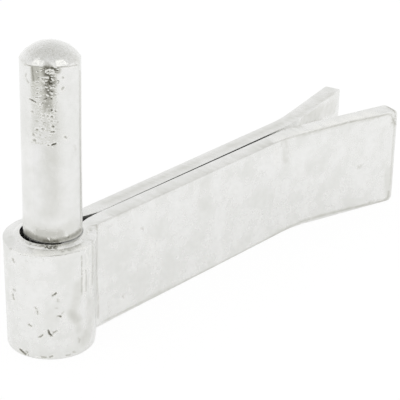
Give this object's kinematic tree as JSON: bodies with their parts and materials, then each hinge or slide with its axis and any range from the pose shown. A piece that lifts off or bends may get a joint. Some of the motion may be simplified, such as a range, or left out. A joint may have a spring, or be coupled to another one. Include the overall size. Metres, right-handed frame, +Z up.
{
  "type": "masonry gate pintle",
  "caption": "Gate hinge pintle for building into a wall: an upright round pin held in the rolled eye of a folded flat bar, whose legs splay apart at the back to lock in the mortar.",
  "frame": {"origin": "middle of the pin's foot, level with the lower edge of the strap", "axes": "+Z up the pin, +X back along the legs of the strap into the wall, +Y towards the back leg"},
  "size_m": [0.1547, 0.0294, 0.0864],
  "materials": {
    "strap_zinc": "bright zinc plated flat bar, lightly dented",
    "pin_zinc": "bright zinc plated round bar, pitted near the top"
  },
  "bodies": {
    "root": {"strap": "strap_zinc", "pin": "pin_zinc"}
  },
  "joints": []
}
